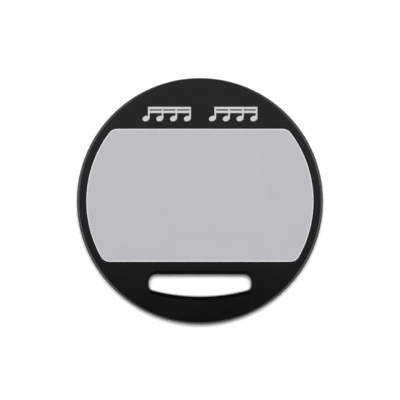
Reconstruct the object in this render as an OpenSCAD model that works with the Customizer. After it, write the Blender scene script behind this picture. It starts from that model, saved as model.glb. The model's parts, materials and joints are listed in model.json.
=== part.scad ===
// Round practice pad with a flush-set playing surface and a hand grip slot.
// The pad lies flat: +Z is up, +Y points away from the player, and the grip slot is on the -Y side.
// The origin is at the centre of the disc, on the surface that the pad rests on. Units are millimetres.

/* [Body] */
// Outside diameter of the pad
pad_d = 305; // [300:1:312]
// Height of the two shells together
body_h = 22; // [21:0.5:26]
// Thickness of the shells' walls and plates
wall = 3; // [2.5:0.1:3.2]
// Rounding of the top shell's outer edge
top_edge_r = 4; // [3:0.1:4.2]
// Rounding of the bottom shell's outer edge
bottom_edge_r = 3; // [2:0.1:3.2]

/* [Playing surface] */
// Radius of the playing surface's curved sides
inlay_r = 140.2; // [138:0.1:141]
// Distance from the centre to its far straight edge
inlay_top = 89.3; // [84:0.1:91]
// Distance from the centre to its near straight edge
inlay_bottom = 75; // [72:0.5:77]
// Rounding of its four corners
inlay_corner_r = 12.5; // [8:0.5:18]
// Thickness of the playing surface
surface_t = 5; // [4:0.1:5.5]
// How far it stands above the body
surface_rise = 0.8; // [0.3:0.1:1.2]
// Width of the gap round it
inlay_gap = 1; // [0.6:0.1:1]

/* [Grip slot] */
// Length of the opening
slot_w = 126; // [115:1:130]
// Distance from the centre to its straight edge
slot_top = 91; // [90:0.5:92]
// Distance from the centre to the middle of its curved edge
slot_bottom = 118; // [116:0.5:119]
// Radius of the curved edge
slot_arc_r = 235; // [200:5:300]
// Corner radius beside the straight edge
slot_top_corner_r = 9; // [6:0.5:10]
// Corner radius beside the curved edge
slot_bottom_corner_r = 6; // [5:0.5:8]
// Width of the liner's rounded lip
lip_w = 5; // [4.5:0.1:5.5]

/* [Base] */
// Height of the bottom shell above the surface that the pad rests on
base_gap = 2; // [1.5:0.1:2.5]
// Radius of the base mat
mat_r = 139.5; // [136:0.5:140]
// Depth of the base mat's recess in the bottom shell
mat_recess = 1; // [0.8:0.1:1.2]
// Width of shell left bare round the grip slot
mat_slot_margin = 9.5; // [8.5:0.5:10]

/* [Core] */
// Thickness of the core board
board_t = 9; // [8:0.5:9.5]
// Thickness of the rebound foam
foam_t = 3; // [2.5:0.1:3.2]
// Thickness of each adhesive film
film_t = 0.3; // [0.2:0.05:0.3]

/* [Screws] */
// Number of screws round the body
screw_count = 10; // [10:1:10]
// Radius of the circle that the screws stand on
screw_ring_r = 145.6; // [145.4:0.1:145.8]
// Radius of a screw's shank, which is also the pilot hole's radius
screw_r = 1.25; // [1.2:0.05:1.3]

/* [Hidden] */
$fn = 96;
cut = 1; // overshoot of a cutting tool past the face it opens

// Heights above the resting surface
shell_bottom_z = base_gap;
shell_top_z = base_gap + body_h;
split_z = base_gap + body_h / 2;
plate_under_z = shell_top_z - wall;
floor_z = base_gap + wall;
surface_z = shell_top_z + surface_rise - surface_t;
foam_z = surface_z - film_t - foam_t;
board_top_z = foam_z - film_t;
board_z = board_top_z - board_t;
mat_top_z = shell_bottom_z + mat_recess;

// Gap between the base mat and the wall of its recess
mat_gap = 0.5;

// Shells
pad_r = pad_d / 2;
inner_r = pad_r - wall;
tongue_t = 1.4;
tongue_h = 1.5;
tongue_clearance = 0.15;
gasket_h = 1;
seam_h = 0.6; // width of the V-shaped seam groove
seam_depth = 0.4;
rib_t = 1.8;
rear_rib_x = [-60, -20, 20, 60];
front_rib_x = [-45, -25, 25, 45];

// Frame that hangs under the top shell's window and clamps the core board
window_rib_t = 2.5;
window_gasket_t = 0.8;
window_gasket_gap = 0.2; // between the foam tape and the rebound foam

// Screws, and the bosses that hold them
boss_r = 3.3;
boss_gap = 0.5;
head_r = 2.8;
head_h = 2.2;
head_seat_z = base_gap + 4;
counterbore_r = 3;
counterbore_boss_r = 4.4;
shank_clearance_r = 1.7;
shank_l = 12;
tip_l = 1.5;
pilot_top_z = plate_under_z - 0.5;

// Core board
board_margin = 4.5;
board_r = inner_r - 2;
scallop_r = counterbore_boss_r + 1;
cushion_inset = 6;

// Grip liner
liner_wall = 2.5;
liner_clearance = 0.1;
lip_rise = 0.7;
lip_edge = 0.6;
lip_drop = 5;
nose_steps = 8;
bend_steps = 9;
arc_steps = 20;
collar_t = 2.5;

// Printed mark: two beamed groups of notes
mark_t = 0.15;
mark_y = 107.5;
mark_h = 17.6;
note_pitch = 17;
note_count = 4;
group_gap = 31;
head_a = 4.4;
head_b = 3.2;
head_tilt = 20;
stem_t = 2;
beam_t = 3;
beam_gap = 1.6;

// ---- Outlines ----

// Mirror images of the children on both sides of the Y axis
module both_sides() {
    children();
    mirror([1, 0, 0]) children();
}

// A list of points followed by its mirror image in the Y axis, as one closed outline
function mirrored(points) = concat(
    points,
    [for (i = [len(points) - 1 : -1 : 0]) [-points[i][0], points[i][1]]]
);

// Playing surface's outline, grown by g: a disc cut by two chords, with rounded corners
module inlay_outline(g = 0) {
    r = inlay_r + g;
    corner_r = inlay_corner_r + g;
    reach = inlay_r - inlay_corner_r;
    top_y = inlay_top - inlay_corner_r;
    bottom_y = inlay_corner_r - inlay_bottom;
    top_c = [sqrt(reach * reach - top_y * top_y), top_y];
    bottom_c = [sqrt(reach * reach - bottom_y * bottom_y), bottom_y];
    touch = r / reach;
    intersection() {
        circle(r);
        polygon(mirrored([
            [top_c[0], inlay_top + g], top_c * touch, top_c * touch * 2,
            bottom_c * touch * 2, bottom_c * touch, [bottom_c[0], -inlay_bottom - g]
        ]));
    }
    both_sides() {
        translate(top_c) circle(corner_r);
        translate(bottom_c) circle(corner_r);
    }
}

// Grip slot: half width, arc centre and corner centres, which stay put as the outline grows
slot_x = slot_w / 2;
slot_arc_c = [0, slot_arc_r - slot_bottom];
slot_top_c = [slot_x - slot_top_corner_r, -slot_top - slot_top_corner_r];
slot_bottom_reach = slot_arc_r - slot_bottom_corner_r;
slot_bottom_x = slot_x - slot_bottom_corner_r;
slot_bottom_c = [
    slot_bottom_x,
    slot_arc_c[1] - sqrt(slot_bottom_reach * slot_bottom_reach - slot_bottom_x * slot_bottom_x)
];
slot_arc_half_angle = asin(slot_bottom_x / slot_bottom_reach);

// Grip slot's outline, grown by g: straight on the pad's side, curved on the grip bar's side
module slot_outline(g = 0) {
    touch = (slot_bottom_c - slot_arc_c) * (slot_arc_r + g) / slot_bottom_reach;
    intersection() {
        translate(slot_arc_c) circle(slot_arc_r + g);
        polygon(mirrored([
            [slot_top_c[0], g - slot_top], [slot_x + g, slot_top_c[1]], [slot_x + g, slot_bottom_c[1]],
            slot_arc_c + touch, slot_arc_c + touch * 1.5
        ]));
    }
    both_sides() {
        translate(slot_top_c) circle(slot_top_corner_r + g);
        translate(slot_bottom_c) circle(slot_bottom_corner_r + g);
    }
}

// Solid between two heights, from a flat outline
module slab(z0, z1) {
    translate([0, 0, z0]) linear_extrude(z1 - z0) children();
}

// Places the children at each screw
module at_screws() {
    for (i = [0 : screw_count - 1])
        rotate(90 + i * 360 / screw_count) translate([screw_ring_r, 0, 0]) children();
}

// ---- Shells ----

// Section of a shell of height h, from the split up to an outer edge rounded by edge_r.
// The edge at the split is chamfered, so the two shells meet in a V-shaped seam.
module shell_section(h, edge_r) {
    difference() {
        union() {
            square([pad_r - edge_r, h]);
            square([pad_r, h - edge_r]);
            translate([pad_r - edge_r, h - edge_r]) circle(edge_r);
        }
        translate([-cut, -cut]) square([inner_r + cut, h - wall + cut]);
        polygon([
            [pad_r - seam_depth, -cut], [pad_r - seam_depth, 0], [pad_r, seam_h / 2],
            [pad_r + cut, seam_h / 2], [pad_r + cut, -cut]
        ]);
        translate([-pad_r, -cut]) square([pad_r, body_h]);
    }
}

// Wall round the grip slot that the liner is squeezed into
module collar(z0, z1) {
    slab(z0, z1) slot_outline(liner_wall + liner_clearance + collar_t);
}

module slot_cut() {
    slab(-cut, shell_top_z + cut) slot_outline(liner_wall + liner_clearance);
}

// Straight ribs along Y at each x, from y0 outwards to the rim, kept inside the shell
module rim_ribs(xs, y0, z0, z1) {
    reach = sign(y0) * pad_r;
    intersection() {
        translate([0, 0, z0]) cylinder(h = z1 - z0, r = inner_r + wall / 2);
        for (x = xs)
            translate([x - rib_t / 2, min(y0, reach), z0]) cube([rib_t, abs(reach - y0), z1 - z0]);
    }
}

module top_shell() {
    front_ribs_y = -slot_bottom - liner_wall;
    color("#27272a") difference() {
        union() {
            translate([0, 0, split_z]) rotate_extrude() shell_section(shell_top_z - split_z, top_edge_r);
            slab(board_top_z + window_gasket_t, plate_under_z + wall / 2)
                inlay_outline(inlay_gap + window_rib_t);
            collar(split_z, plate_under_z + wall / 2);
            rim_ribs(rear_rib_x, inlay_top, board_top_z + window_gasket_t, plate_under_z + wall / 2);
            rim_ribs(front_rib_x, front_ribs_y, split_z + wall, plate_under_z + wall / 2);
            at_screws() translate([0, 0, split_z])
                cylinder(h = plate_under_z + wall / 2 - split_z, r = boss_r);
        }
        slab(split_z, shell_top_z + cut) inlay_outline(inlay_gap);
        slot_cut();
        translate([0, 0, split_z - cut]) difference() {
            cylinder(h = tongue_h + gasket_h + cut, r = inner_r + tongue_t + tongue_clearance);
            translate([0, 0, -cut]) cylinder(h = body_h, r = inner_r - cut / 4);
        }
        at_screws() translate([0, 0, split_z - cut]) cylinder(h = pilot_top_z - split_z + cut, r = screw_r);
    }
}

module bottom_shell() {
    front_ribs_y = -slot_bottom - liner_wall;
    color("#222225") difference() {
        union() {
            translate([0, 0, split_z]) mirror([0, 0, 1]) rotate_extrude()
                shell_section(split_z - shell_bottom_z, bottom_edge_r);
            translate([0, 0, split_z - wall]) difference() {
                cylinder(h = wall + tongue_h, r = inner_r + tongue_t);
                translate([0, 0, -cut]) cylinder(h = body_h, r = inner_r);
            }
            collar(floor_z - wall / 2, split_z);
            rim_ribs(rear_rib_x, inlay_top + board_margin + 1, floor_z - wall / 2, split_z - wall);
            rim_ribs(front_rib_x, front_ribs_y, floor_z - wall / 2, split_z - wall);
            at_screws() {
                translate([0, 0, floor_z - wall / 2])
                    cylinder(h = split_z - floor_z + wall / 2, r = boss_r);
                translate([0, 0, floor_z - wall / 2])
                    cylinder(h = head_seat_z + 2 - floor_z + wall / 2, r = counterbore_boss_r);
            }
        }
        slab(0, mat_top_z) mat_outline(mat_gap);
        slot_cut();
        at_screws() {
            cylinder(h = head_seat_z, r = counterbore_r);
            cylinder(h = split_z + cut, r = shank_clearance_r);
        }
    }
}

// Closed-cell foam ring above the bottom shell's tongue, which stops the shells buzzing
module rim_gasket() {
    color("#3a3a3c") translate([0, 0, split_z + tongue_h]) difference() {
        cylinder(h = gasket_h, r = inner_r + tongue_t);
        translate([0, 0, -cut]) cylinder(h = gasket_h + 2 * cut, r = inner_r + tongue_clearance);
    }
}

// ---- Grip liner ----

// Points of the liner's rounded nose on one shell: [distance outwards from the opening, height]
function nose(z_crest, z_shell, z_side) = concat(
    [for (i = [0 : nose_steps]) let (a = i * 90 / nose_steps) [
        (lip_w - lip_edge) * (1 - cos(a)),
        z_side + (z_crest - z_side) * sin(a)
    ]],
    [[lip_w, (z_crest + z_shell) / 2], [lip_w, z_shell], [liner_wall, z_shell]]
);

function reversed(points) = [for (i = [len(points) - 1 : -1 : 0]) points[i]];

// Section of the liner: a wall between the shells' collars, with a rounded lip over each shell
liner_section = concat(
    nose(shell_top_z + lip_rise, shell_top_z, shell_top_z + lip_rise - lip_drop),
    reversed(nose(shell_bottom_z - lip_rise, shell_bottom_z, shell_bottom_z - lip_rise + lip_drop))
);

// Stations along a bend of the slot's edge: [centre of the bend, its radius, direction outwards]
function bend(c, r, from, to, steps) = [for (i = [0 : steps]) [c, r, from + i * (to - from) / steps]];

function without_ends(list) = [for (i = [1 : len(list) - 2]) list[i]];

function flipped(p) = [-p[0], p[1]];

// Stations all round the slot's edge, anticlockwise from the right-hand side
liner_stations = concat(
    bend(slot_top_c, slot_top_corner_r, 0, 90, bend_steps),
    bend(flipped(slot_top_c), slot_top_corner_r, 90, 180, bend_steps),
    bend(flipped(slot_bottom_c), slot_bottom_corner_r, 180, 270 - slot_arc_half_angle, bend_steps),
    without_ends(bend(
        slot_arc_c, slot_arc_r, 270 - slot_arc_half_angle, 270 + slot_arc_half_angle, arc_steps
    )),
    bend(slot_bottom_c, slot_bottom_corner_r, 270 + slot_arc_half_angle, 360, bend_steps)
);

// Ring made by carrying a section round a closed line of stations
module swept_ring(stations, section) {
    n = len(stations);
    m = len(section);
    polyhedron(
        points = [
            for (s = stations, p = section)
                [s[0][0] + (s[1] + p[0]) * cos(s[2]), s[0][1] + (s[1] + p[0]) * sin(s[2]), p[1]]
        ],
        faces = [
            for (i = [0 : n - 1], j = [0 : m - 1])
                let (next_i = (i + 1) % n, next_j = (j + 1) % m)
                    [i * m + j, i * m + next_j, next_i * m + next_j, next_i * m + j]
        ]
    );
}

module grip_liner() {
    color("#141416") swept_ring(liner_stations, liner_section);
}

// ---- Playing surface and core ----

module playing_surface() {
    color("#bec0c5") slab(surface_z, shell_top_z + surface_rise) inlay_outline();
}

module surface_adhesive() {
    color("#e6e2d2") slab(surface_z - film_t, surface_z) inlay_outline(-1);
}

module rebound_foam() {
    color("#5a5b60") slab(foam_z, foam_z + foam_t) inlay_outline();
}

module foam_adhesive() {
    color("#e6e2d2") slab(board_top_z, foam_z) inlay_outline(-1);
}

// Foam tape between the window's frame and the core board, which also closes the gap above the board
module window_gasket() {
    color("#3a3a3c") difference() {
        slab(board_top_z, board_top_z + window_gasket_t) inlay_outline(inlay_gap + window_rib_t);
        slab(board_z, shell_top_z) inlay_outline(window_gasket_gap);
        at_screws() translate([0, 0, board_z])
            cylinder(h = board_t + cut + window_gasket_t, r = boss_r + boss_gap);
    }
}

// The board's outline: a disc cut by two chords, grown by g
module board_outline(g = 0) {
    width = 2 * board_r + cut;
    intersection() {
        circle(board_r + g);
        translate([-width / 2, -inlay_bottom - board_margin - g])
            square([width, inlay_top + inlay_bottom + 2 * (board_margin + g)]);
    }
}

module core_board() {
    color("#b08a5e") difference() {
        slab(board_z, board_top_z) board_outline();
        at_screws() translate([0, 0, board_z - cut]) cylinder(h = board_t + 2 * cut, r = scallop_r);
    }
}

module core_cushion() {
    color("#4a4a4e") difference() {
        slab(floor_z, board_z) board_outline(-cushion_inset);
        at_screws() translate([0, 0, floor_z - cut]) cylinder(h = board_z, r = scallop_r);
    }
}

// ---- Base ----

// Base mat's outline, grown by g: a disc with an opening round the grip slot
module mat_outline(g = 0) {
    difference() {
        circle(mat_r + g);
        slot_outline(mat_slot_margin - g);
    }
}

module base_mat() {
    color("#2e2f32") slab(0, mat_top_z - film_t) mat_outline();
}

module mat_adhesive() {
    color("#e6e2d2") slab(mat_top_z - film_t, mat_top_z) mat_outline(-1);
}

// ---- Screws ----

// Pan-head screw, head down, with a cross recess
module screw() {
    recess_w = 0.9;
    recess_l = 3.4;
    recess_depth = 1.3;
    crown_h = 0.6;
    difference() {
        union() {
            translate([0, 0, crown_h]) cylinder(h = head_h - crown_h, r = head_r);
            cylinder(h = crown_h, r1 = head_r - crown_h, r2 = head_r);
            cylinder(h = head_h + shank_l - tip_l, r = screw_r);
            translate([0, 0, head_h + shank_l - tip_l]) cylinder(h = tip_l, r1 = screw_r, r2 = screw_r / 4);
        }
        for (a = [0, 90])
            rotate(a) translate([-recess_l / 2, -recess_w / 2, -cut])
                cube([recess_l, recess_w, recess_depth + cut]);
    }
}

module shell_screws() {
    color("#8d8f94") at_screws() translate([0, 0, head_seat_z - head_h]) screw();
}

// ---- Printed mark ----

// Tilted oval head of a note
module note_head() {
    steps = 36;
    rotate(head_tilt)
        polygon([for (i = [0 : steps - 1]) let (t = i * 360 / steps) [head_a * cos(t), head_b * sin(t)]]);
}

// A beamed group of notes that starts at x = 0
module note_group() {
    stem_x = head_a - stem_t;
    stem_h = mark_h - head_b;
    for (i = [0 : note_count - 1]) translate([i * note_pitch, 0]) {
        note_head();
        translate([stem_x, 0]) square([stem_t, stem_h]);
    }
    for (k = [0, 1])
        translate([stem_x, stem_h - beam_t - k * (beam_t + beam_gap)])
            square([(note_count - 1) * note_pitch + stem_t, beam_t]);
}

module printed_mark() {
    group_w = (note_count - 1) * note_pitch;
    total_w = 2 * group_w + group_gap;
    color("#c8c8cb") slab(shell_top_z, shell_top_z + mark_t)
        for (k = [0, 1])
            translate([k * (group_w + group_gap) - total_w / 2, mark_y - mark_h / 2 + head_b]) note_group();
}

top_shell();
bottom_shell();
rim_gasket();
grip_liner();
playing_surface();
surface_adhesive();
rebound_foam();
foam_adhesive();
window_gasket();
core_board();
core_cushion();
base_mat();
mat_adhesive();
shell_screws();
printed_mark();
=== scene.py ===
import json
import math
import random

import bmesh
import bpy
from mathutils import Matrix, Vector
from mathutils.geometry import delaunay_2d_cdt, tessellate_polygon

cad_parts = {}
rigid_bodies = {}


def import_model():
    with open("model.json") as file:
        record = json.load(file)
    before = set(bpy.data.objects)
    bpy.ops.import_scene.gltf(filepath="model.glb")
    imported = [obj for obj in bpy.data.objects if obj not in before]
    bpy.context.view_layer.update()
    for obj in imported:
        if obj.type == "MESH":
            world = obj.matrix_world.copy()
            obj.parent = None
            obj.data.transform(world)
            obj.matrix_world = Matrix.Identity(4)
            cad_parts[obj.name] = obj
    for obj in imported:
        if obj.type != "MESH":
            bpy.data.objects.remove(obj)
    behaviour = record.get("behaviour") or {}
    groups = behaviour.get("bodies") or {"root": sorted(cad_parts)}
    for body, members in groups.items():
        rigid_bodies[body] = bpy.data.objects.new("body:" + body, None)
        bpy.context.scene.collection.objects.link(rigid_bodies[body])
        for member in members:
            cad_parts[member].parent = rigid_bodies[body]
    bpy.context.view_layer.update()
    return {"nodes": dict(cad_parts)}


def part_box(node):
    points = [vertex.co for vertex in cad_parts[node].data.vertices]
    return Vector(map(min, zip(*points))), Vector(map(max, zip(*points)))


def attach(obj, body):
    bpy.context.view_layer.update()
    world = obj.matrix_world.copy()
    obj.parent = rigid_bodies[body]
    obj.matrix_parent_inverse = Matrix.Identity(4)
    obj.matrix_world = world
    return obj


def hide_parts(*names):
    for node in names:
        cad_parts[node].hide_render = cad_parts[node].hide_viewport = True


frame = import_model()
nodes = frame["nodes"]

MM = 0.001
HALF_TURN = math.pi
QUARTER = math.pi / 2


# ---------------------------------------------------------------- sizes, in millimetres

def box_mm(node):
    low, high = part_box(node)
    return low / MM, high / MM


def z_range(node):
    low, high = box_mm(node)
    return low.z, high.z


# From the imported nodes
PAD_R = box_mm("top_shell")[1].x
SHELL_TOP_Z = z_range("top_shell")[1]
SPLIT_Z = z_range("top_shell")[0]
SHELL_BOTTOM_Z = z_range("bottom_shell")[0]
SURFACE_Z, SURFACE_TOP_Z = z_range("playing_surface")
FOAM_Z, FOAM_TOP_Z = z_range("rebound_foam")
CUSHION_Z, CUSHION_TOP_Z = z_range("core_cushion")
TAPE_Z, TAPE_TOP_Z = z_range("window_gasket")
RING_Z, RING_TOP_Z = z_range("rim_gasket")
MAT_TOP_Z = z_range("base_mat")[1]
RECESS_Z = z_range("mat_adhesive")[1]
HEAD_Z, SCREW_TIP_Z = z_range("shell_screws")
MAT_R = box_mm("base_mat")[1].x
INLAY_R = box_mm("playing_surface")[1].x
INLAY_TOP = box_mm("playing_surface")[1].y
INLAY_BOTTOM = -box_mm("playing_surface")[0].y
LIP_W = 5.0  # as in the CAD
SLOT_W = 2 * (box_mm("grip_liner")[1].x - LIP_W)
SLOT_TOP = -box_mm("grip_liner")[1].y + LIP_W
SLOT_BOTTOM = -box_mm("grip_liner")[0].y - LIP_W
LIP_RISE = z_range("grip_liner")[1] - SHELL_TOP_Z

# As in the CAD
WALL = 3.0
TOP_EDGE_R, BOTTOM_EDGE_R = 4.0, 3.0
SEAM_H, SEAM_DEPTH = 0.6, 0.4
TONGUE_T, TONGUE_H, TONGUE_CLEARANCE, GROOVE_H = 1.4, 1.5, 0.15, 2.5
INLAY_CORNER_R, INLAY_GAP, WINDOW_RIB_T = 12.5, 1.0, 2.5
SLOT_ARC_R, SLOT_TOP_CORNER_R, SLOT_BOTTOM_CORNER_R = 235.0, 9.0, 6.0
LINER_WALL, LINER_CLEARANCE, COLLAR_T, LIP_DROP = 2.5, 0.1, 2.5, 5.0
SCREW_RING_R, SCREW_COUNT, SCREW_R = 145.6, 10, 1.25
BOSS_R, COUNTERBORE_R, COUNTERBORE_BOSS_R, SHANK_HOLE_R = 3.3, 3.0, 4.4, 1.7
HEAD_SEAT_Z, HEAD_R, CROWN_H, TIP_L = SHELL_BOTTOM_Z + 4, 2.8, 0.6, 1.5
RECESS_W, RECESS_L, RECESS_DEPTH = 0.9, 3.4, 1.3
RIB_T, REAR_RIB_X, FRONT_RIB_X = 1.8, (-60, -20, 20, 60), (-45, -25, 25, 45)
MAT_GAP, MAT_SLOT_MARGIN = 0.5, 9.5
BOARD_R, BOARD_MARGIN, CUSHION_INSET, SCALLOP_R = 147.5, 4.5, 6.0, 5.4

INNER_R = PAD_R - WALL
PLATE_UNDER_Z = SHELL_TOP_Z - WALL
FLOOR_Z = SHELL_BOTTOM_Z + WALL
COLLAR_GROW = LINER_WALL + LINER_CLEARANCE  # from the slot's outline to the shells' collars

# Details that only this model has
SUPPORT = 0.4  # width of the flat strip kept beside each rounded edge, so flat faces shade flat
INNER_CHAMFER = 0.4
TAPE_SQUEEZED = 0.04  # what is left of the gap between the squeezed tape and the rebound foam
PIP_PITCH, PIP_R, PIP_H = 5.0, 1.7, 0.55
RIM_STEPS, MAT_STEPS = 300, 240


# ---------------------------------------------------------------- outlines
# An outline is a ring of stations (centre x, centre y, radius, direction), and grows by adding to
# the radius. A profile is a list of (grow, height) points carried round it.

def bend(cx, cy, r, start, end, steps):
    return [(cx, cy, r, start + (end - start) * i / steps) for i in range(steps + 1)]


def inlay_stations(corner_steps=12, arc_steps=44):
    reach = INLAY_R - INLAY_CORNER_R
    top_y, bottom_y = INLAY_TOP - INLAY_CORNER_R, INLAY_CORNER_R - INLAY_BOTTOM
    top_x, bottom_x = math.sqrt(reach**2 - top_y**2), math.sqrt(reach**2 - bottom_y**2)
    top_a, bottom_a = math.atan2(top_y, top_x), math.atan2(bottom_y, bottom_x)
    return (
        bend(0, 0, INLAY_R, bottom_a, top_a, arc_steps)[1:-1]
        + bend(top_x, top_y, INLAY_CORNER_R, top_a, QUARTER, corner_steps)
        + bend(-top_x, top_y, INLAY_CORNER_R, QUARTER, HALF_TURN - top_a, corner_steps)
        + bend(0, 0, INLAY_R, HALF_TURN - top_a, HALF_TURN - bottom_a, arc_steps)[1:-1]
        + bend(-bottom_x, bottom_y, INLAY_CORNER_R, HALF_TURN - bottom_a, 3 * QUARTER, corner_steps)
        + bend(bottom_x, bottom_y, INLAY_CORNER_R, 3 * QUARTER, 2 * HALF_TURN + bottom_a, corner_steps)
    )


def slot_stations(corner_steps=16, arc_steps=48):
    arc_y = SLOT_ARC_R - SLOT_BOTTOM
    top_x, top_y = SLOT_W / 2 - SLOT_TOP_CORNER_R, -SLOT_TOP - SLOT_TOP_CORNER_R
    reach = SLOT_ARC_R - SLOT_BOTTOM_CORNER_R
    low_x = SLOT_W / 2 - SLOT_BOTTOM_CORNER_R
    low_y = arc_y - math.sqrt(reach**2 - low_x**2)
    half = math.asin(low_x / reach)
    down = 3 * QUARTER
    return (
        bend(top_x, top_y, SLOT_TOP_CORNER_R, 0, QUARTER, corner_steps)
        + bend(-top_x, top_y, SLOT_TOP_CORNER_R, QUARTER, HALF_TURN, corner_steps)
        + bend(-low_x, low_y, SLOT_BOTTOM_CORNER_R, HALF_TURN, down - half, corner_steps)
        + bend(0, arc_y, SLOT_ARC_R, down - half, down + half, arc_steps)[1:-1]
        + bend(low_x, low_y, SLOT_BOTTOM_CORNER_R, down + half, 2 * HALF_TURN, corner_steps)
    )


def circle_stations(steps, cx=0.0, cy=0.0):
    """An outline of no size, which a profile's grow turns into a circle."""
    return [(cx, cy, 0.0, 2 * HALF_TURN * i / steps) for i in range(steps)]


def ring(stations, grow, z):
    return [(cx + (r + grow) * math.cos(a), cy + (r + grow) * math.sin(a), z) for cx, cy, r, a in stations]


def arc(c, z, r, start_deg, end_deg, steps):
    """Profile points of a rounded edge, from one angle to another."""
    angles = [math.radians(start_deg + (end_deg - start_deg) * i / steps) for i in range(steps + 1)]
    return [(c + r * math.cos(a), z + r * math.sin(a)) for a in angles]


def screw_places():
    for i in range(SCREW_COUNT):
        a = QUARTER + 2 * HALF_TURN * i / SCREW_COUNT
        yield SCREW_RING_R * math.cos(a), SCREW_RING_R * math.sin(a)


# ---------------------------------------------------------------- mesh building

class Solid:
    """Collects vertices, in millimetres, and faces of a closed surface."""

    def __init__(self):
        self.verts, self.faces = [], []

    def loop(self, points):
        start = len(self.verts)
        self.verts += points
        return list(range(start, start + len(points)))

    def strip(self, a, b):
        n = len(a)
        self.faces += [(a[i], a[(i + 1) % n], b[(i + 1) % n], b[i]) for i in range(n)]

    def sweep(self, stations, profile, closed=False):
        """Carries a profile round an outline. Returns its first and its last loop."""
        loops = [self.loop(ring(stations, g, z)) for g, z in profile]
        for a, b in zip(loops, loops[1:] + (loops[:1] if closed else [])):
            self.strip(a, b)
        return loops[0], loops[-1]

    def fill(self, outer, *holes):
        """Flat face inside one loop and outside the others."""
        loops = [outer, *holes]
        flat = [i for loop in loops for i in loop]
        for t in tessellate_polygon([[Vector(self.verts[i]) for i in loop] for loop in loops]):
            self.faces.append(tuple(flat[k] for k in t))

    def fill_many(self, outer, holes):
        """The same for a round outer loop and a great many convex holes."""
        loops = [outer, *holes]
        flat = [i for loop in loops for i in loop]
        owner = [k for k, loop in enumerate(loops) for _ in loop]
        edges, start = [], 0
        for loop in loops:
            n = len(loop)
            edges += [(start + i, start + (i + 1) % n) for i in range(n)]
            start += n
        points = [Vector(self.verts[i][:2]) for i in flat]
        _, _, tris, origins, _, _ = delaunay_2d_cdt(points, edges, [], 0, 1e-6)
        for t in tris:
            first = [origins[k][0] for k in t]
            hole = owner[first[0]]
            if hole and all(owner[k] == hole for k in first):
                continue
            self.faces.append(tuple(flat[k] for k in first))

    def rod(self, x, y, profile, steps=32):
        """Closed turned part on a vertical axis, from (radius, height) points."""
        a, b = self.sweep(circle_stations(steps, x, y), profile)
        self.fill(a)
        self.fill(b)

    def bar(self, x0, x1, y0, y1, z0, z1):
        low = self.loop([(x0, y0, z0), (x1, y0, z0), (x1, y1, z0), (x0, y1, z0)])
        high = self.loop([(x0, y0, z1), (x1, y0, z1), (x1, y1, z1), (x0, y1, z1)])
        self.strip(low, high)
        self.faces += [tuple(low), tuple(high)]

    def mesh(self, name):
        mesh = bpy.data.meshes.new(name)
        mesh.from_pydata([tuple(c * MM for c in v) for v in self.verts], [], self.faces)
        bm = bmesh.new()
        bm.from_mesh(mesh)
        bmesh.ops.recalc_face_normals(bm, faces=bm.faces)
        bm.to_mesh(mesh)
        bm.free()
        return mesh


def linked(name, mesh):
    ob = bpy.data.objects.new(name, mesh)
    bpy.context.scene.collection.objects.link(ob)
    return ob


def combined(mesh, other, operation):
    """Mesh made by a boolean of two closed meshes."""
    base, tool = linked("base", mesh), linked("tool", other)
    step = base.modifiers.new("boolean", "BOOLEAN")
    step.solver, step.operation, step.object = "MANIFOLD", operation, tool
    done = bpy.data.meshes.new_from_object(base.evaluated_get(bpy.context.evaluated_depsgraph_get()))
    done.name = mesh.name
    for ob, used in ((base, mesh), (tool, other)):
        bpy.data.objects.remove(ob)
        bpy.data.meshes.remove(used)
    return done


def piece(name, mesh, look, slot, *replaced, sharp_deg=32):
    """Object of a finished mesh, with its material, that stands for the replaced nodes."""
    mesh.name = name
    mesh.polygons.foreach_set("use_smooth", [True] * len(mesh.polygons))
    mesh.set_sharp_from_angle(angle=math.radians(sharp_deg))
    mesh.materials.clear()
    mesh.materials.append(look)
    ob = linked(name, mesh)
    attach(ob, "root")
    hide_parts(*replaced)
    return ob


# ---------------------------------------------------------------- material tools

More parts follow.
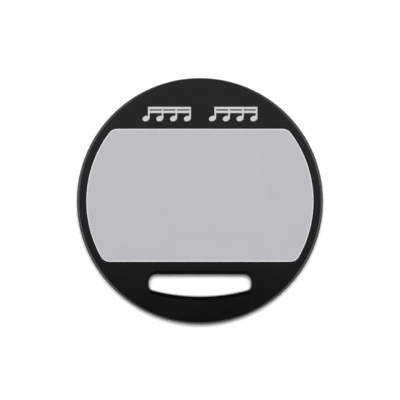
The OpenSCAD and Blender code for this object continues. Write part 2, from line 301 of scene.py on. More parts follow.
class Look:
    """A Principled material on object coordinates, with helpers for its nodes. Sizes are in mm."""

    def __init__(self, name, specular):
        self.mat = bpy.data.materials.new(name)
        self.mat.use_nodes = True
        self.tree = self.mat.node_tree
        self.shader = self.tree.nodes["Principled BSDF"]
        self.shader.inputs["Specular IOR Level"].default_value = specular
        self.place = self.new("ShaderNodeTexCoord").outputs["Object"]

    def new(self, kind, **settings):
        node = self.tree.nodes.new(kind)
        for key, value in settings.items():
            setattr(node, key, value)
        return node

    def put(self, socket, value):
        if isinstance(value, bpy.types.NodeSocket):
            self.tree.links.new(value, socket)
        elif hasattr(value, "__len__") and len(value) == 3 and len(socket.default_value) == 4:
            socket.default_value = (*value, 1)
        else:
            socket.default_value = value

    def noise(self, size_mm, detail=2.0, rough=0.5, stretch=None, seed=0.0):
        """Smooth noise from 0 to 1 with features of about the given size."""
        node = self.new("ShaderNodeTexNoise", noise_dimensions="4D")
        node.inputs["W"].default_value = seed
        node.inputs["Scale"].default_value = 1 / (size_mm * MM)
        node.inputs["Detail"].default_value = detail
        node.inputs["Roughness"].default_value = rough
        self.put(node.inputs["Vector"], self.stretched(stretch))
        return node.outputs["Fac"]

    def cells(self, size_mm):
        """Distance to the nearest cell's centre."""
        node = self.new("ShaderNodeTexVoronoi")
        node.inputs["Scale"].default_value = 1 / (size_mm * MM)
        self.put(node.inputs["Vector"], self.place)
        return node.outputs["Distance"]

    def stretched(self, factors):
        if factors is None:
            return self.place
        node = self.new("ShaderNodeMapping")
        node.inputs["Scale"].default_value = factors
        self.put(node.inputs["Vector"], self.place)
        return node.outputs[0]

    def ramp(self, value, low, high, at_low=0.0, at_high=1.0):
        """Smooth step between two values, flat outside them."""
        node = self.new("ShaderNodeMapRange", interpolation_type="SMOOTHSTEP")
        self.put(node.inputs["Value"], value)
        for key, v in (("From Min", low), ("From Max", high), ("To Min", at_low), ("To Max", at_high)):
            self.put(node.inputs[key], v)
        return node.outputs[0]

    def math(self, operation, a, b):
        node = self.new("ShaderNodeMath", operation=operation)
        self.put(node.inputs[0], a)
        self.put(node.inputs[1], b)
        return node.outputs[0]

    def mix(self, factor, a, b):
        node = self.new("ShaderNodeMix", data_type="RGBA")
        self.put(node.inputs["Factor"], factor)
        self.put(node.inputs["A"], a)
        self.put(node.inputs["B"], b)
        return node.outputs["Result"]

    def scaled(self, value, factor):
        return self.math("MULTIPLY", value, factor)

    def height(self):
        """Distance above the surface that the pad rests on, in metres."""
        split = self.new("ShaderNodeSeparateXYZ")
        self.put(split.inputs[0], self.place)
        return split.outputs["Z"]

    def mark(self, name):
        """A value stored on the mesh's points."""
        return self.new("ShaderNodeAttribute", attribute_name=name).outputs["Fac"]

    def color(self, value):
        self.put(self.shader.inputs["Base Color"], value)

    def roughness(self, value):
        self.put(self.shader.inputs["Roughness"], value)

    def bump(self, *layers):
        """Stacks bumps, each (height, depth in mm)."""
        normal = None
        for height, depth_mm in layers:
            node = self.new("ShaderNodeBump")
            node.inputs["Strength"].default_value = 1.0
            node.inputs["Distance"].default_value = depth_mm * MM
            self.put(node.inputs["Height"], height)
            if normal is not None:
                self.put(node.inputs["Normal"], normal)
            normal = node.outputs[0]
        self.put(self.shader.inputs["Normal"], normal)


# ---------------------------------------------------------------- materials

def shell_plastic(name, base):
    """Moulded ABS with a fine satin spark-erosion grain, faint handling marks and scuffs."""
    look = Look(name, specular=0.8)
    worn = (0.05, 0.05, 0.053)
    mottle = look.ramp(look.noise(9, 2, seed=5), 0.3, 0.7)
    streaks = look.ramp(look.noise(2.2, 2, 0.5, stretch=(1, 0.06, 1), seed=8), 0.69, 0.75)
    rubbed_area = look.ramp(look.noise(60, 1, seed=11), 0.5, 0.62)
    scuffs = look.math("MULTIPLY", streaks, rubbed_area)
    dust = look.ramp(look.noise(0.9, 1, seed=21), 0.79, 0.84)
    tone = look.mix(mottle, base, [c * 1.12 for c in base])
    tone = look.mix(look.scaled(scuffs, 0.06), tone, worn)
    look.color(look.mix(look.scaled(dust, 0.15), tone, worn))
    handled = look.ramp(look.noise(38, 3, 0.55, seed=3), 0.3, 0.7, 0.12, 0.17)
    look.roughness(look.math("ADD", handled, look.scaled(scuffs, 0.05)))
    pebble, grain = look.noise(1.1, 2, 0.5, seed=14), look.noise(0.35, 3, 0.6)
    look.bump((pebble, 0.012), (grain, 0.014))
    return look.mat


def playing_rubber():
    """Light grey rubber, finely sanded, with faint stick marks, a painted highlight along its rounded upper
    edge and painted shade on the steep flank below it.
    """
    look = Look("sanded_rubber", specular=0.3)
    base, light, dark = (0.414, 0.419, 0.445), (0.429, 0.434, 0.46), (0.355, 0.36, 0.383)
    # pale tone for the painted highlight on the edge, dark tone for the painted shade on its flank
    painted_highlight_tone, painted_shade_tone = (0.7, 0.704, 0.72), (0.07, 0.071, 0.076)
    sand, pits = look.noise(0.55, 4, 0.65), look.ramp(look.cells(1.3), 0.1, 0.6)
    cloud = look.ramp(look.noise(26, 3, 0.5, seed=4), 0.25, 0.75)
    flecks = look.ramp(look.noise(1.1, 1, seed=17), 0.74, 0.8, 0.0, 0.4)
    struck_area = look.ramp(look.noise(48, 1, seed=9), 0.48, 0.62)
    taps = look.math("MULTIPLY", look.ramp(look.cells(17), 0.13, 0.05), struck_area)
    tone = look.mix(cloud, base, light)
    tone = look.mix(look.ramp(sand, 0.3, 0.7, 0.0, 0.14), tone, dark)
    tone = look.mix(flecks, tone, dark)
    tone = look.mix(look.scaled(taps, 0.05), tone, dark)
    uneven = look.ramp(look.noise(2.5, 2, seed=6), 0.2, 0.6, 0.8, 1.0)
    # painted highlight: a pale band along the rounded upper edge, as strong as the mesh's "edge" value
    tone = look.mix(look.math("MULTIPLY", look.mark("edge"), uneven), tone, painted_highlight_tone)
    # painted shade: the steep lower part of the rounded edge is darkened towards the gap around the sheet
    flank_low, flank_high = (SURFACE_TOP_Z - 0.42) * MM, (SURFACE_TOP_Z - 0.06) * MM
    flank = look.ramp(look.height(), flank_low, flank_high, 0.85, 0.0)
    look.color(look.mix(flank, tone, painted_shade_tone))
    look.roughness(look.ramp(sand, 0.2, 0.8, 0.62, 0.78))
    look.bump((sand, 0.07), (pits, 0.035))
    return look.mat


def liner_elastomer():
    """Soft black elastomer: smooth and slightly satin, with the faint waviness of a soft moulding."""
    look = Look("soft_elastomer", specular=0.16)
    wave, fine = look.noise(7, 2, 0.5, seed=2), look.noise(0.5, 3, 0.6)
    lint = look.ramp(look.noise(0.8, 1, seed=13), 0.78, 0.83, 0.0, 0.25)
    tone = look.mix(look.ramp(wave, 0.3, 0.7), (0.0006, 0.0006, 0.0008), (0.0009, 0.0009, 0.0011))
    look.color(look.mix(lint, tone, (0.03, 0.03, 0.032)))
    look.roughness(look.ramp(wave, 0.3, 0.7, 0.15, 0.2))
    look.bump((wave, 0.02), (fine, 0.008))
    return look.mat


def mat_rubber():
    """Dark non-slip sponge rubber with a skin, paler where the pips have worn."""
    look = Look("sponge_rubber", specular=0.25)
    skin, cloud = look.noise(0.8, 4, 0.65), look.noise(30, 3, seed=7)
    tone = look.mix(look.ramp(cloud, 0.3, 0.7), (0.016, 0.016, 0.0175), (0.022, 0.022, 0.0235))
    tone = look.mix(look.ramp(skin, 0.62, 0.72, 0.0, 0.35), tone, (0.05, 0.05, 0.052))
    pip_tip = look.ramp(look.height(), 0.22 * MM, 0.04 * MM)
    worn = look.math("MULTIPLY", pip_tip, look.ramp(skin, 0.3, 0.6, 0.3, 1.0))
    look.color(look.mix(look.scaled(worn, 0.6), tone, (0.062, 0.061, 0.06)))
    look.roughness(look.ramp(skin, 0.2, 0.8, 0.68, 0.88))
    look.bump((skin, 0.06))
    return look.mat


def foam(name, base, cell_mm, seed):
    """Foam, closed-cell or open-cell by the size of its cells."""
    look = Look(name, specular=0.2)
    cells, cloud = look.cells(cell_mm), look.noise(12, 3, seed=seed)
    crumbs = look.noise(cell_mm * 0.4, 2, seed=seed + 1)
    dark, light = [c * 0.45 for c in base], [c * 1.35 for c in base]
    # painted shade: the colour darkens towards each cell's centre, in the hollows that the bump makes
    tone = look.mix(look.ramp(cells, 0.15, 0.7), dark, base)
    look.color(look.mix(look.ramp(cloud, 0.4, 0.75, 0.0, 0.5), tone, light))
    look.roughness(look.ramp(cloud, 0.3, 0.7, 0.86, 0.96))
    look.bump((look.ramp(cells, 0.0, 0.6), cell_mm * 0.3), (crumbs, cell_mm * 0.08))
    return look.mat


def mark_ink():
    """Silver-grey pad-printed ink with metallic flakes and small pinholes."""
    look = Look("silver_ink", specular=0.5)
    flakes = look.noise(0.28, 3, 0.7)
    pinholes = look.ramp(look.noise(0.7, 1, seed=4), 0.76, 0.8)
    tone = look.mix(look.ramp(flakes, 0.3, 0.7), (0.45, 0.45, 0.46), (0.56, 0.56, 0.572))
    look.color(look.mix(look.scaled(pinholes, 0.5), tone, (0.06, 0.06, 0.06)))
    look.roughness(look.ramp(flakes, 0.25, 0.75, 0.4, 0.6))
    look.bump((flakes, 0.01))
    return look.mat


def screw_steel():
    """Zinc-plated steel, brushed by tumbling, with dulled patches."""
    look = Look("zinc_steel", specular=0.5)
    look.shader.inputs["Metallic"].default_value = 1.0
    fine, patches = look.noise(0.16, 3, 0.6), look.noise(2.4, 3, 0.6, seed=5)
    tone = look.mix(look.ramp(patches, 0.35, 0.7), (0.56, 0.57, 0.6), (0.42, 0.42, 0.43))
    look.color(look.mix(look.ramp(fine, 0.6, 0.75, 0.0, 0.4), tone, (0.3, 0.29, 0.27)))
    look.roughness(look.ramp(patches, 0.3, 0.7, 0.24, 0.42))
    look.bump((fine, 0.008))
    return look.mat


def board_wood():
    """Fibreboard: pale fibres pressed flat, in layers that show on the cut edge."""
    look = Look("fibreboard", specular=0.3)
    fibres = look.noise(0.5, 4, 0.7, stretch=(1, 0.35, 2.2))
    flecks = look.ramp(look.noise(1.6, 3, 0.6, stretch=(0.4, 1, 1), seed=6), 0.6, 0.72)
    tone = look.mix(look.ramp(fibres, 0.3, 0.7), (0.33, 0.2, 0.1), (0.47, 0.31, 0.17))
    look.color(look.mix(look.scaled(flecks, 0.5), tone, (0.2, 0.11, 0.05)))
    look.roughness(look.ramp(fibres, 0.3, 0.7, 0.62, 0.82))
    look.bump((fibres, 0.03))
    return look.mat


def adhesive_film():
    """Pale double-sided film with trapped air and a woven carrier."""
    look = Look("carrier_film", specular=0.5)
    carrier = look.noise(0.6, 2, 0.5, stretch=(1, 0.2, 1))
    air = look.ramp(look.noise(5, 3, 0.6, seed=3), 0.58, 0.68)
    tone = look.mix(look.ramp(carrier, 0.35, 0.65), (0.7, 0.66, 0.54), (0.8, 0.77, 0.67))
    look.color(look.mix(look.scaled(air, 0.45), tone, (0.86, 0.85, 0.8)))
    look.roughness(look.ramp(air, 0.0, 1.0, 0.36, 0.55))
    look.bump((air, 0.02), (carrier, 0.01))
    return look.mat


TOP_PLASTIC = shell_plastic("satin_abs_top", (0.0042, 0.0042, 0.0056))
BOTTOM_PLASTIC = shell_plastic("satin_abs_bottom", (0.004, 0.004, 0.0053))
GASKET_FOAM = foam("closed_cell_tape", (0.006, 0.006, 0.0065), 0.5, seed=2)
REBOUND_FOAM = foam("dense_foam", (0.055, 0.056, 0.062), 0.7, seed=5)
CUSHION_FOAM = foam("open_cell_foam", (0.04, 0.04, 0.043), 1.4, seed=9)


# ---------------------------------------------------------------- shells

def rib_ends(x, start_y):
    """A rib's near and far end at x: the far one lies inside the rim's wall."""
    reach = math.sqrt((INNER_R + WALL / 2) ** 2 - (abs(x) + RIB_T / 2) ** 2)
    return sorted((start_y, math.copysign(reach, start_y)))


def ribs(solid, xs, start_y, z0, z1):
    for x in xs:
        solid.bar(x - RIB_T / 2, x + RIB_T / 2, *rib_ends(x, start_y), z0, z1)


def seam_edge(side):
    """Chamfer at the split, from the side wall in to the flat joint, above (1) or below (-1). Both of
    its ends are blunted a little."""
    return [
        (PAD_R, SPLIT_Z + side * (SEAM_H / 2 + 0.15)),
        (PAD_R - 0.03, SPLIT_Z + side * (SEAM_H / 2 + 0.02)),
        (PAD_R - SEAM_DEPTH + 0.06, SPLIT_Z + side * 0.05),
        (PAD_R - SEAM_DEPTH - 0.06, SPLIT_Z),
    ]


def top_shell():
    s = Solid()
    inlay, slot, rim = inlay_stations(), slot_stations(), circle_stations(RIM_STEPS)
    top = SHELL_TOP_Z
    groove_r = INNER_R + TONGUE_T + TONGUE_CLEARANCE
    rim_profile = (
        [(PAD_R - TOP_EDGE_R - SUPPORT, top)]
        + arc(PAD_R - TOP_EDGE_R, top - TOP_EDGE_R, TOP_EDGE_R, 90, 0, 14)
        + seam_edge(1)
        + [(groove_r, SPLIT_Z), (groove_r, SPLIT_Z + GROOVE_H), (INNER_R, SPLIT_Z + GROOVE_H)]
        + [(INNER_R, PLATE_UNDER_Z + INNER_CHAMFER), (INNER_R - INNER_CHAMFER, PLATE_UNDER_Z)]
    )
    rim_top, rim_under = s.sweep(rim, rim_profile)
    g, rib_g, edge = INLAY_GAP, INLAY_GAP + WINDOW_RIB_T, 0.2
    window_profile = (
        [(g + edge + SUPPORT, top)]
        + arc(g + edge, top - edge, edge, 90, 180, 5)
        + [(g, TAPE_TOP_Z), (rib_g, TAPE_TOP_Z)]
        + [(rib_g, PLATE_UNDER_Z - INNER_CHAMFER), (rib_g + INNER_CHAMFER, PLATE_UNDER_Z)]
    )
    window_top, window_under = s.sweep(inlay, window_profile)
    g = COLLAR_GROW
    collar_top, collar_under = s.sweep(
        slot, [(g, top), (g, SPLIT_Z), (g + COLLAR_T, SPLIT_Z), (g + COLLAR_T, PLATE_UNDER_Z)]
    )
    s.fill(rim_top, window_top, collar_top)
    s.fill(rim_under, window_under, collar_under)

    inside, pilots = Solid(), Solid()
    anchor_z = PLATE_UNDER_Z + WALL / 2  # within the plate's thickness
    lead_in = [(SCREW_R + 0.5, SPLIT_Z - 0.2), (SCREW_R, SPLIT_Z + 0.3)]
    pilot_top_z = PLATE_UNDER_Z - 0.5
    for x, y in screw_places():
        inside.rod(x, y, [(BOSS_R, SPLIT_Z), (BOSS_R, anchor_z)])
        pilots.rod(x, y, lead_in + [(SCREW_R, pilot_top_z)])
    ribs(inside, REAR_RIB_X, INLAY_TOP + INLAY_GAP + WINDOW_RIB_T / 2, TAPE_TOP_Z, anchor_z)
    ribs(inside, FRONT_RIB_X, -SLOT_BOTTOM - LINER_WALL, SPLIT_Z + WALL, anchor_z)
    mesh = combined(s.mesh("top_shell"), inside.mesh("inside"), "UNION")
    mesh = combined(mesh, pilots.mesh("pilots"), "DIFFERENCE")
    return piece("top_shell_moulding", mesh, TOP_PLASTIC, "top_shell_plastic", "top_shell")


def bottom_shell():
    s = Solid()
    slot, rim = slot_stations(), circle_stations(RIM_STEPS)
    low = SHELL_BOTTOM_Z
    tongue_r = INNER_R + TONGUE_T
    tip_chamfer = 0.25
    rim_profile = (
        [(PAD_R - BOTTOM_EDGE_R - SUPPORT, low)]
        + arc(PAD_R - BOTTOM_EDGE_R, low + BOTTOM_EDGE_R, BOTTOM_EDGE_R, -90, 0, 12)
        + seam_edge(-1)
        + [(tongue_r, SPLIT_Z), (tongue_r, SPLIT_Z + TONGUE_H - tip_chamfer)]
        + [(tongue_r - tip_chamfer, SPLIT_Z + TONGUE_H), (INNER_R, SPLIT_Z + TONGUE_H)]
        + [(INNER_R, FLOOR_Z + INNER_CHAMFER), (INNER_R - INNER_CHAMFER, FLOOR_Z)]
    )
    rim_low, rim_floor = s.sweep(rim, rim_profile)
    recess_r, edge = MAT_R + MAT_GAP, 0.3
    recess_low, recess_top = s.sweep(
        rim,
        [(recess_r + edge + SUPPORT, low)] + arc(recess_r + edge, low + edge, edge, -90, -180, 4)
        + [(recess_r, RECESS_Z)],
    )
    g = MAT_SLOT_MARGIN - MAT_GAP
    land_top, land_low = s.sweep(
        slot,
        [(g, RECESS_Z)] + arc(g - edge, low + edge, edge, 0, -90, 4) + [(g - edge - 0.2, low)],
    )
    g = COLLAR_GROW
    collar_low, collar_floor = s.sweep(
        slot, [(g, low), (g, SPLIT_Z), (g + COLLAR_T, SPLIT_Z), (g + COLLAR_T, FLOOR_Z)]
    )
    s.fill(rim_low, recess_low)
    s.fill(recess_top, land_top)
    s.fill(land_low, collar_low)
    s.fill(rim_floor, collar_floor)

    inside, holes = Solid(), Solid()
    anchor_z = FLOOR_Z - WALL / 2  # within the floor's thickness
    r, chamfer, foot_z = COUNTERBORE_R, 0.35, HEAD_SEAT_Z + 2
    boss = [(COUNTERBORE_BOSS_R, anchor_z), (COUNTERBORE_BOSS_R, foot_z), (BOSS_R, foot_z), (BOSS_R, SPLIT_Z)]
    bore = [(r + chamfer + 1, low - 1), (r, low + chamfer), (r, HEAD_SEAT_Z)]
    shank = [(SHANK_HOLE_R, HEAD_SEAT_Z), (SHANK_HOLE_R, SPLIT_Z + 1)]
    for x, y in screw_places():
        inside.rod(x, y, boss)
        holes.rod(x, y, bore + shank, steps=40)
    ribs(inside, REAR_RIB_X, INLAY_TOP + BOARD_MARGIN + 1, anchor_z, SPLIT_Z - WALL)
    ribs(inside, FRONT_RIB_X, -SLOT_BOTTOM - LINER_WALL, anchor_z, SPLIT_Z - WALL)
    mesh = combined(s.mesh("bottom_shell"), inside.mesh("inside"), "UNION")
    mesh = combined(mesh, holes.mesh("holes"), "DIFFERENCE")
    return piece("bottom_shell_moulding", mesh, BOTTOM_PLASTIC, "bottom_shell_plastic", "bottom_shell")


# ---------------------------------------------------------------- liner and playing surface

def liner_nose(face_z, side):
    """Half of the liner's section: a rounded bead that rolls over the shell's face."""
    crest, crest_g, edge_h = face_z + side * LIP_RISE, 3.5, 0.15
    flank = crest - side * LIP_DROP
    inner_steps, outer_steps = 18, 8
    points = []
    for i in range(inner_steps + 1):
        a = QUARTER * i / inner_steps
        points.append((crest_g * (1 - math.cos(a)), flank + (crest - flank) * math.sin(a)))
    for i in range(1, outer_steps + 1):
        a = QUARTER * (1 - i / outer_steps)
        rise = edge_h + (LIP_RISE - edge_h) * math.sin(a)
        points.append((crest_g + (LIP_W - crest_g) * math.cos(a), face_z + side * rise))
    return points + [(LIP_W, face_z), (LINER_WALL, face_z)]


def grip_liner():
    s = Solid()
    section = liner_nose(SHELL_TOP_Z, 1) + liner_nose(SHELL_BOTTOM_Z, -1)[::-1]
    s.sweep(slot_stations(), section, closed=True)
    mesh, look = s.mesh("liner"), liner_elastomer()
    return piece("grip_liner_moulding", mesh, look, "liner_elastomer", "grip_liner", sharp_deg=50)


def playing_surface():
    """The rubber sheet, with a rounded upper edge. The mesh stores how strongly the painted highlight shows
    along that edge.
    """
    s = Solid()
    r, under_r = 0.8, 0.2
    # share of painted highlight at each grow across the top of the rounded edge
    highlight_fading = {-r: 1.0, -1.05: 0.75, -1.35: 0.3, -1.75: 0.0}
    profile = (
        [(-under_r - SUPPORT, SURFACE_Z), (-under_r, SURFACE_Z), (0, SURFACE_Z + under_r)]
        + arc(-r, SURFACE_TOP_Z - r, r, 0, 90, 9)[:-1]
        + [(g, SURFACE_TOP_Z) for g in highlight_fading]
    )
    stations = inlay_stations()
    low, high = s.sweep(stations, profile)
    s.fill(low)
    s.fill(high)
    mesh = s.mesh("surface")
    # the "edge" value is the share of painted highlight at each point
    edge = mesh.attributes.new("edge", "FLOAT", "POINT")
    for k, (g, z) in enumerate(profile):
        highlight_share = highlight_fading.get(g, 1.0) if z > SURFACE_TOP_Z - r - 0.01 else 0.0
        for i in range(len(stations)):
            edge.data[k * len(stations) + i].value = highlight_share
    return piece("playing_surface_sheet", mesh, playing_rubber(), "playing_rubber", "playing_surface")


# ---------------------------------------------------------------- soft layers inside

def board_outline(inset):
    """Disc cut by two chords, with a scallop for each screw's boss that it meets, as 2-D points."""
    r = BOARD_R - inset
    top, bottom = INLAY_TOP + BOARD_MARGIN - inset, -INLAY_BOTTOM - BOARD_MARGIN + inset
    bosses = [(x, y) for x, y in screw_places() if bottom - SCALLOP_R < y < top + SCALLOP_R]

    steps, points = 720, []
    for i in range(steps):
        a = 2 * HALF_TURN * i / steps
        limit_y = top if math.sin(a) > 0 else bottom
        reach = min(r, limit_y / math.sin(a)) if abs(math.sin(a)) > 1e-9 else r
        for bx, by in bosses:
            along = bx * math.cos(a) + by * math.sin(a)
            gap = SCALLOP_R**2 - (bx * bx + by * by - along * along)
            if gap > 0 and along > 0:
                reach = min(reach, along - math.sqrt(gap))
        points.append((reach * math.cos(a), reach * math.sin(a)))
    return [p for p, before, after in zip(points, points[-1:] + points, points[1:] + points[:1])
            if is_bend(before, p, after)]


def is_bend(a, b, c):
    """False where the middle one of three points lies on a straight stretch."""
    return abs((b[0] - a[0]) * (c[1] - b[1]) - (b[1] - a[1]) * (c[0] - b[0])) > 1e-6


def cut_sheet(points, z0, z1, bulge):
    """Die-cut soft sheet: its edge is squeezed out a little in the middle."""
    s = Solid()
    n = len(points)
    # lower half of the edge, as (share of the thickness, grow)
    rise = [(0.0, -bulge), (0.12, -bulge * 0.35), (0.3, -bulge * 0.08), (0.5, 0.0)]
    levels = rise + [(1 - t, g) for t, g in rise[-2::-1]]

    def inset(i, g):
        (ax, ay), (bx, by) = points[i - 1], points[(i + 1) % n]
        length = math.hypot(bx - ax, by - ay)
        return points[i][0] + g * (by - ay) / length, points[i][1] - g * (bx - ax) / length

    loops = [s.loop([(*inset(i, g), z0 + (z1 - z0) * t) for i in range(n)]) for t, g in levels]
    for a, b in zip(loops, loops[1:]):
        s.strip(a, b)
    s.fill(loops[0])
    s.fill(loops[-1])
    return s


def soft(ob):
    return ob


def rebound_foam():
    points = [p[:2] for p in ring(inlay_stations(), 0, 0)]
    mesh = cut_sheet(points, FOAM_Z, FOAM_TOP_Z, 0.35).mesh("foam")
    return soft(piece("rebound_foam_sheet", mesh, REBOUND_FOAM, "rebound_foam", "rebound_foam"))


def core_cushion():
    mesh = cut_sheet(board_outline(CUSHION_INSET), CUSHION_Z, CUSHION_TOP_Z, 0.3).mesh("cushion")
    return soft(piece("core_cushion_sheet", mesh, CUSHION_FOAM, "cushion_foam", "core_cushion"))


def tape_section(inner, outer, z0, z1, round_r):
    """Closed section of a foam tape with rounded edges."""
    return (
        arc(outer - round_r, z0 + round_r, round_r, -90, 0, 4)
        + arc(outer - round_r, z1 - round_r, round_r, 0, 90, 4)
        + arc(inner + round_r, z1 - round_r, round_r, 90, 180, 4)
        + arc(inner + round_r, z0 + round_r, round_r, 180, 270, 4)
    )


def window_gasket():
    s = Solid()
    section = tape_section(TAPE_SQUEEZED, INLAY_GAP + WINDOW_RIB_T, TAPE_Z, TAPE_TOP_Z, 0.25)
    s.sweep(inlay_stations(), section, closed=True)
    gaps = Solid()
    for x, y in screw_places():
        gaps.rod(x, y, [(BOSS_R + 0.5, TAPE_Z - 1), (BOSS_R + 0.5, TAPE_TOP_Z + 1)])
    mesh = combined(s.mesh("tape"), gaps.mesh("gaps"), "DIFFERENCE")
    return soft(piece("window_gasket_tape", mesh, GASKET_FOAM, "gasket_foam", "window_gasket"))


def rim_gasket():
    s = Solid()
    section = tape_section(INNER_R + TONGUE_CLEARANCE, INNER_R + TONGUE_T, RING_Z, RING_TOP_Z, 0.3)
    s.sweep(circle_stations(RIM_STEPS), section, closed=True)
    return soft(piece("rim_gasket_ring", s.mesh("ring"), GASKET_FOAM, "gasket_foam", "rim_gasket"))


# ---------------------------------------------------------------- base mat and screws

def base_mat():
    """Sponge rubber sheet whose underside stands on rows of low round pips."""
    s = Solid()
    slot, rim = slot_stations(), circle_stations(MAT_STEPS)
    skin_z, edge, cut = PIP_H, 0.45, 0.15
    outer_edge = arc(MAT_R - edge, skin_z + edge, edge, -90, 0, 5)
    outer_low, outer_top = s.sweep(rim, outer_edge + [(MAT_R, MAT_TOP_Z - cut), (MAT_R - cut, MAT_TOP_Z)])
    g = MAT_SLOT_MARGIN
    inner_edge = arc(g + edge, skin_z + edge, edge, -90, -180, 5)
    slot_low, slot_top = s.sweep(slot, inner_edge + [(g, MAT_TOP_Z - cut), (g + cut, MAT_TOP_Z)])
    s.fill(outer_top, slot_top)

    slot_edge = [p[:2] for p in ring(slot, g, 0)]
    slot_x = max(x for x, _ in slot_edge)
    slot_y = min(y for _, y in slot_edge), max(y for _, y in slot_edge)

    def clear(x, y):
        """True where a pip keeps its distance from both edges of the mat."""
        margin = PIP_R + 1.2
        if math.hypot(x, y) > MAT_R - margin:
            return False
        if abs(x) > slot_x + margin or not slot_y[0] - margin < y < slot_y[1] + margin:
            return True
        return min(math.hypot(x - px, y - py) for px, py in slot_edge) > margin and not inside_slot(x, y)

    def inside_slot(x, y):
        crossings = 0
        for (ax, ay), (bx, by) in zip(slot_edge, slot_edge[1:] + slot_edge[:1]):
            if (ay > y) != (by > y) and x < ax + (bx - ax) * (y - ay) / (by - ay):
                crossings += 1
        return crossings % 2 == 1

    dome = arc(0, 0, 1, 0, 78, 3)  # side of a unit dome, up to its small flat tip
    rows = int(MAT_R / (PIP_PITCH * math.sqrt(3) / 2))
    feet = []
    for row in range(-rows, rows + 1):
        y = row * PIP_PITCH * math.sqrt(3) / 2
        for col in range(-rows, rows + 1):
            x = (col + 0.5 * (row % 2)) * PIP_PITCH
            if not clear(x, y):
                continue
            stations = circle_stations(10, x, y)
            foot, tip = s.sweep(stations, [(PIP_R * c, skin_z - PIP_H * h / dome[-1][1]) for c, h in dome])
            s.faces.append(tuple(tip))
            feet.append(foot)
    s.fill_many(outer_low, [slot_low, *feet])
    return piece("base_mat_sheet", s.mesh("mat"), mat_rubber(), "mat_rubber", "base_mat")


def cross_outline(width, length, corner):
    """Cross as 2-D points, anticlockwise, with the corners of its ends cut off."""
    w, l = width / 2, length / 2
    arm = [(l, -w + corner), (l, w - corner), (l - corner, w), (w, w)]
    points = []
    for k in range(4):
        c, s = math.cos(QUARTER * k), math.sin(QUARTER * k)
        points += [(x * c - y * s, x * s + y * c) for x, y in arm]
        ex, ey = w, l - corner
        points.append((ex * c - ey * s, ex * s + ey * c))
    return points


def shell_screws():
    """Pan-head screws, head down, each with a tapered cross recess."""
    s = Solid()
    top, dip, cut, fillet = HEAD_SEAT_Z, 0.08, 0.12, 0.2
    profile = (
        [(HEAD_R - 1.05, HEAD_Z), (HEAD_R - CROWN_H, HEAD_Z + dip)]
        + arc(HEAD_R - CROWN_H, HEAD_Z + CROWN_H + dip, CROWN_H, -80, 0, 6)
        + [(HEAD_R, top - cut), (HEAD_R - cut, top), (SCREW_R + fillet, top)]
        + [(SCREW_R, top + fillet), (SCREW_R, SCREW_TIP_Z - TIP_L), (SCREW_R / 4, SCREW_TIP_Z)]
    )
    # the recess as (width, length, share of its depth)
    levels = ((RECESS_W, RECESS_L, 0.0), (RECESS_W * 0.8, RECESS_L * 0.72, 0.55),
              (RECESS_W * 0.5, RECESS_L * 0.42, 1.0))
    for k, (x, y) in enumerate(screw_places()):
        turn = random.Random(60 + k).uniform(0, QUARTER)
        face, tip = s.sweep(circle_stations(40, x, y), profile)
        s.fill(tip)
        loops = []
        for width, length, depth in levels:
            points = [
                (x + px * math.cos(turn) - py * math.sin(turn), y + px * math.sin(turn) + py * math.cos(turn))
                for px, py in cross_outline(width, length, min(0.12, width / 5))
            ]
            loops.append(s.loop([(px, py, HEAD_Z + RECESS_DEPTH * depth) for px, py in points]))
        for a, b in zip(loops, loops[1:]):
            s.strip(a, b)
        s.fill(loops[-1])
        s.fill(face, loops[0])
    mesh, look = s.mesh("screws"), screw_steel()
    return piece("shell_screw_set", mesh, look, "screw_steel", "shell_screws", sharp_deg=38)


for build in (
    top_shell, bottom_shell, grip_liner, playing_surface, rebound_foam, core_cushion,
    window_gasket, rim_gasket, base_mat, shell_screws,
):
    build()

BOARD, FILM = board_wood(), adhesive_film()
for name, look in {
    "printed_mark": mark_ink(), "core_board": BOARD, "surface_adhesive": FILM, "foam_adhesive": FILM,
    "mat_adhesive": FILM,
}.items():
    nodes[name].data.materials.clear()
    nodes[name].data.materials.append(look)


# ---------------------------------------------------------------- stage

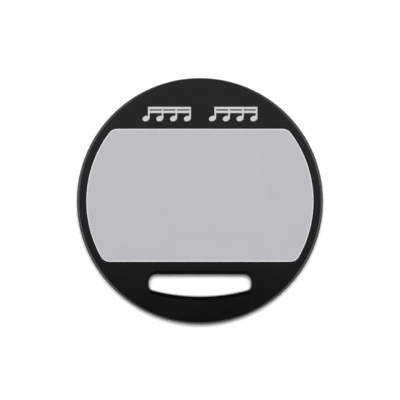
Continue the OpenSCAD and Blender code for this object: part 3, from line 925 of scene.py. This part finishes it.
def studio_world():
    """White surroundings. The gloss shows a light tent: bright at the sides and low on the player's
    side, dim overhead and on the far side, dark between, and weaker towards the horizon. What
    lights everything else is even and dim."""
    overhead_glow, side_glow, near_glow, horizon_share, even_glow = 0.232, 1.4, 1.7, 0.3, 0.11
    world = bpy.data.worlds.new("studio")
    bpy.context.scene.world = world
    world.use_nodes = True
    tree = world.node_tree
    background = tree.nodes["Background"]
    background.inputs["Color"].default_value = (1, 1, 1, 1)
    split = tree.nodes.new("ShaderNodeSeparateXYZ")
    tree.links.new(tree.nodes.new("ShaderNodeTexCoord").outputs["Generated"], split.inputs[0])
    x, y, z = split.outputs

    def node_math(operation, a, b=None):
        node = tree.nodes.new("ShaderNodeMath")
        node.operation = operation
        tree.links.new(a, node.inputs[0])
        if b is not None:
            tree.links.new(b, node.inputs[1])
        return node.outputs[0]

    def step(value, low, high, at_low, at_high):
        node = tree.nodes.new("ShaderNodeMapRange")
        node.interpolation_type = "SMOOTHSTEP"
        tree.links.new(value, node.inputs["Value"])
        for key, v in (("From Min", low), ("From Max", high), ("To Min", at_low), ("To Max", at_high)):
            node.inputs[key].default_value = v
        return node.outputs[0]

    def choose(factor, otherwise, value):
        node = tree.nodes.new("ShaderNodeMix")
        tree.links.new(factor, node.inputs["Factor"])
        for socket, v in ((node.inputs["A"], otherwise), (node.inputs["B"], value)):
            if isinstance(v, float):
                socket.default_value = v
            else:
                tree.links.new(v, socket)
        return node.outputs["Result"]

    overhead = step(y, -0.076, -0.034, 0.0, overhead_glow)
    sides = step(node_math("ABSOLUTE", x), 0.24, 0.46, 0.0, side_glow)
    near = step(y, -0.9, -0.6, near_glow, 0.0)
    tent = node_math("MAXIMUM", overhead, node_math("MAXIMUM", sides, near))
    lift = step(node_math("ABSOLUTE", z), 0.1, 0.5, horizon_share, 1.0)
    glossy = node_math("MULTIPLY", tent, lift)
    path = tree.nodes.new("ShaderNodeLightPath")
    strength = choose(path.outputs["Is Glossy Ray"], even_glow, glossy)
    strength = choose(path.outputs["Is Camera Ray"], strength, 1.0)
    tree.links.new(strength, background.inputs["Strength"])


def floor_paper():
    """White paper that glows far from the pad, so that no dark horizon shows, and that can be seen
    through from below, where the base is looked at."""
    look = Look("floor_paper", specular=0.0)
    look.roughness(0.9)
    look.color(look.mix(look.ramp(look.noise(4, 3), 0.3, 0.7), (0.91, 0.91, 0.91), (0.93, 0.93, 0.93)))
    reach = look.new("ShaderNodeVectorMath", operation="LENGTH")
    look.put(reach.inputs[0], look.place)
    look.put(look.shader.inputs["Emission Color"], (1, 1, 1))
    look.put(look.shader.inputs["Emission Strength"], look.ramp(reach.outputs["Value"], 0.45, 1.4))
    clear, seen = look.new("ShaderNodeBsdfTransparent"), look.new("ShaderNodeMixShader")
    look.put(seen.inputs[0], look.new("ShaderNodeNewGeometry").outputs["Backfacing"])
    look.tree.links.new(look.shader.outputs[0], seen.inputs[1])
    look.tree.links.new(clear.outputs[0], seen.inputs[2])
    look.tree.links.new(seen.outputs[0], look.tree.nodes["Material Output"].inputs["Surface"])
    return look.mat


def soft_light(name, place, size, power):
    """Rectangular light, in metres and watts, aimed at the origin, that doesn't show in the gloss."""
    data = bpy.data.lights.new(name, "AREA")
    data.shape = "RECTANGLE"
    data.size, data.size_y = size
    data.energy = power
    light = bpy.data.objects.new(name, data)
    bpy.context.scene.collection.objects.link(light)
    light.location = place
    light.rotation_mode = "QUATERNION"
    light.rotation_quaternion = light.location.normalized().to_track_quat("Z", "Y")
    light.visible_glossy = False
    return light


def studio():
    scene = bpy.context.scene
    scene.view_settings.view_transform = "Standard"

    floor_z = -0.00005  # just under the mat, so that the two faces don't coincide
    bpy.ops.mesh.primitive_plane_add(size=12, location=(0, 0, floor_z))
    floor = bpy.context.object
    floor.name = "floor"
    floor.data.materials.append(floor_paper())
    studio_world()

    # soft key just off vertical on the far side, and a light below that only the pad blocks, for its base
    soft_light("key", (0, 0.485, 2.96), (1.0, 0.8), 102)
    under = soft_light("under", (0, -0.6, -1.6), (1.2, 1.2), 160)
    blockers = bpy.data.collections.new("blockers")
    for ob in scene.collection.all_objects:
        if ob.type == "MESH" and ob is not floor:
            blockers.objects.link(ob)
    under.light_linking.blocker_collection = blockers

    # camera straight above, framing the pad as in the reference view
    camera_data = bpy.data.cameras.new("camera")
    camera = bpy.data.objects.new("camera", camera_data)
    scene.collection.objects.link(camera)
    camera_data.lens = 100
    camera_data.sensor_width = 36
    span = 0.4935  # width of the view at the body's top face, in metres
    distance = span / 2 / (camera_data.sensor_width / 2 / camera_data.lens)
    camera.location = (0.0001, 0.0014, SHELL_TOP_Z * MM + distance)
    camera_data.clip_start, camera_data.clip_end = 0.05, 20
    scene.camera = camera


studio()
